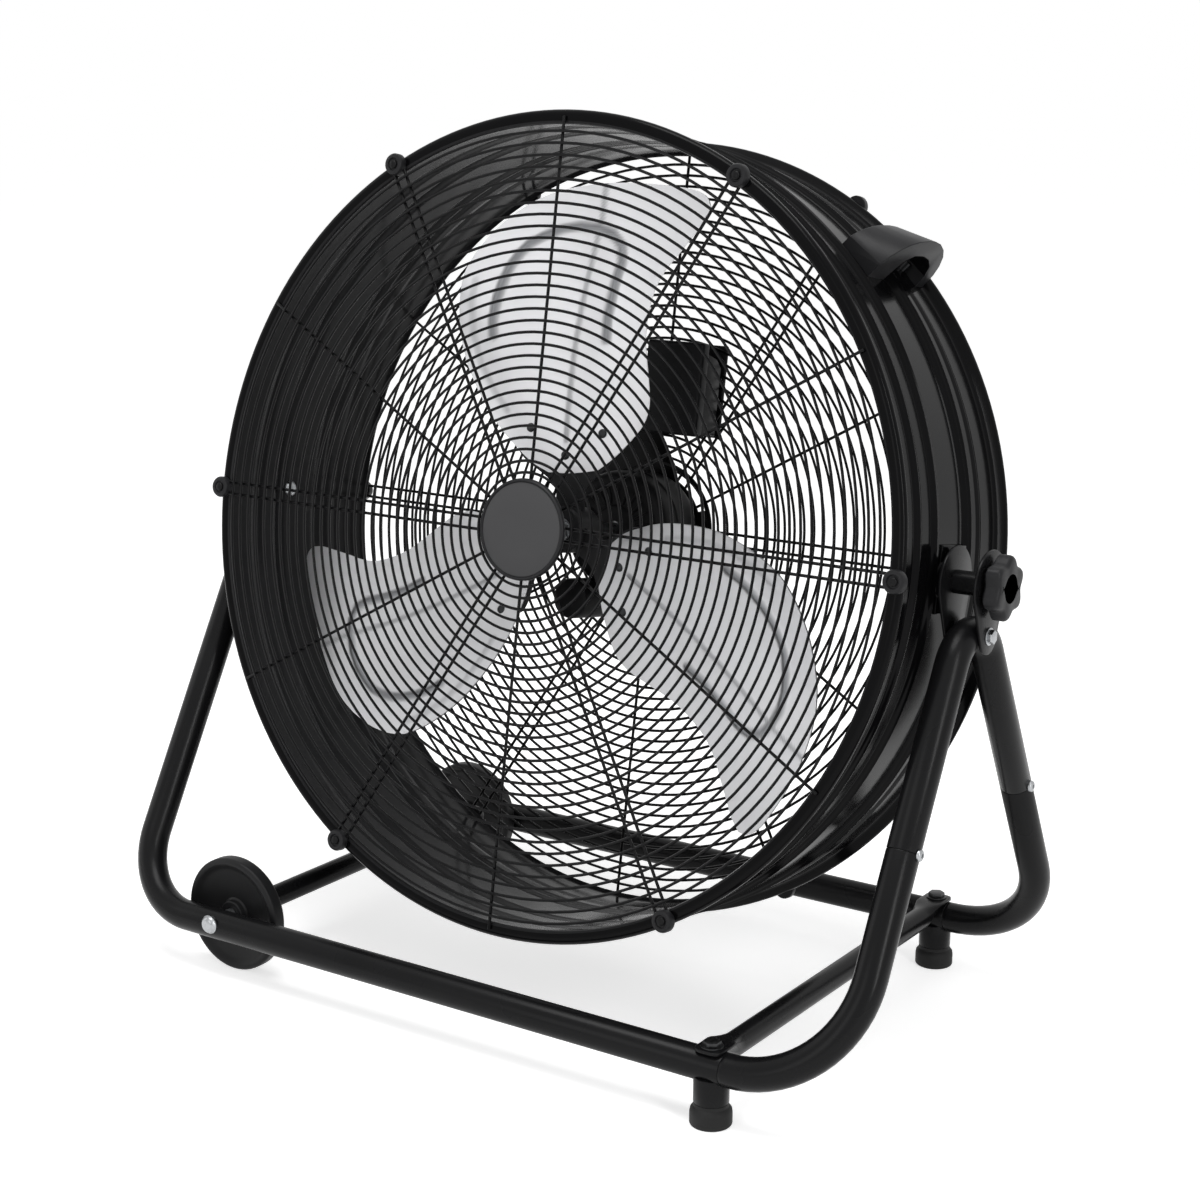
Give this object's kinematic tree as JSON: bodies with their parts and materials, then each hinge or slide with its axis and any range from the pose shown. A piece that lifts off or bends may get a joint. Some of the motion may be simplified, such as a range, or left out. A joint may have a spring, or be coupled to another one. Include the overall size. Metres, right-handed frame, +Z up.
{
  "type": "drum fan",
  "caption": "Large round drum fan with wire guards and pressed metal blades, tilting between knobs in a tubular floor stand with wheels and rubber feet.",
  "frame": {"origin": "on the floor under the tilt axis, midway between the two tilt knobs", "axes": "+X to the fan's left-hand side seen from behind, where the rubber feet are; -Y is the side that the fan blows to; +Z up"},
  "size_m": [0.758, 0.4046, 0.7239],
  "materials": {
    "painted_steel": "satin powder coat",
    "guard_steel": "satin powder coat",
    "bright_steel": "zinc plated",
    "blade_aluminium": "mill finish",
    "hub_steel": "plain",
    "motor_housing": "cast, painted",
    "black_plastic": "moulded",
    "wheel_plastic": "moulded",
    "foot_rubber": "moulded"
  },
  "bodies": {
    "stand": {"front_base_tube": "painted_steel", "rear_base_tube": "painted_steel", "front_corner_tube": "painted_steel", "rear_corner_tube": "painted_steel", "left_v_tube": "painted_steel", "right_v_tube": "painted_steel", "joint_plugs": "painted_steel", "seam_screws": "bright_steel", "cross_bar": "painted_steel", "foot_bolts": "bright_steel", "foot_sleeves": "painted_steel", "rubber_feet": "foot_rubber", "axle_rod": "bright_steel", "axle_tube": "painted_steel", "axle_cap_nuts": "bright_steel", "bracket_plates": "painted_steel", "bracket_spacers": "painted_steel", "bracket_bolts": "bright_steel", "pivot_washers": "bright_steel"},
    "drum": {"pivot_bolts": "bright_steel", "pivot_pads": "painted_steel", "pad_rivets": "bright_steel", "drum_shell": "painted_steel", "front_guard_rings": "guard_steel", "front_guard_spokes": "guard_steel", "front_clips": "black_plastic", "front_clip_screws": "bright_steel", "front_badge": "black_plastic", "rear_guard_rings": "guard_steel", "rear_guard_spokes": "guard_steel", "rear_clips": "black_plastic", "rear_clip_screws": "bright_steel", "handle": "black_plastic", "handle_screws": "bright_steel", "motor_front_shell": "motor_housing", "motor_rear_shell": "motor_housing", "front_bearing": "bright_steel", "rear_bearing": "bright_steel", "stator": "hub_steel", "motor_mount_plate": "painted_steel", "motor_bolts": "bright_steel", "run_capacitor": "motor_housing", "control_box": "black_plastic", "control_cover": "black_plastic", "speed_switch": "black_plastic", "cord_gland": "black_plastic", "cover_screws": "bright_steel"},
    "rotor": {"motor_shaft": "bright_steel", "rotor_core": "hub_steel", "fan_hub": "hub_steel", "hub_nut": "bright_steel", "blade_rivets": "blade_aluminium", "blade_1": "blade_aluminium", "blade_2": "blade_aluminium", "blade_3": "blade_aluminium"},
    "front_wheel": {"wheel_front": "wheel_plastic"},
    "rear_wheel": {"wheel_rear": "wheel_plastic"},
    "left_knob": {"tilt_knob_left": "black_plastic"},
    "right_knob": {"tilt_knob_right": "black_plastic"},
    "speed_control": {"speed_knob": "black_plastic"}
  },
  "joints": [
    {"name": "drum_tilt", "type": "hinge", "parent": "stand", "child": "drum", "pos_m": [0, 0, 0.386], "axis": [-1, 0, 0], "range_deg": [-99.3, 80.7]},
    {"name": "fan_spin", "type": "hinge", "parent": "drum", "child": "rotor", "pos_m": [0, 0, 0.386], "axis": [0, 0.9869, -0.1616], "continuous": true},
    {"name": "wheel_front_spin", "type": "hinge", "parent": "stand", "child": "front_wheel", "pos_m": [-0.246, -0.16447, 0.0495], "axis": [0, 1, 0], "continuous": true},
    {"name": "wheel_rear_spin", "type": "hinge", "parent": "stand", "child": "rear_wheel", "pos_m": [-0.246, 0.16447, 0.0495], "axis": [0, 1, 0], "continuous": true},
    {"name": "left_knob_turn", "type": "hinge", "parent": "drum", "child": "left_knob", "pos_m": [-0.372, 0, 0.386], "axis": [-1, 0, 0], "range_deg": [0, 360]},
    {"name": "right_knob_turn", "type": "hinge", "parent": "drum", "child": "right_knob", "pos_m": [0.372, 0, 0.386], "axis": [1, 0, 0], "range_deg": [0, 360]},
    {"name": "speed_turn", "type": "hinge", "parent": "drum", "child": "speed_control", "pos_m": [0.03315, 0.13644, 0.48902], "axis": [0, -0.9869, 0.1616], "range_deg": [0, 135]}
  ]
}
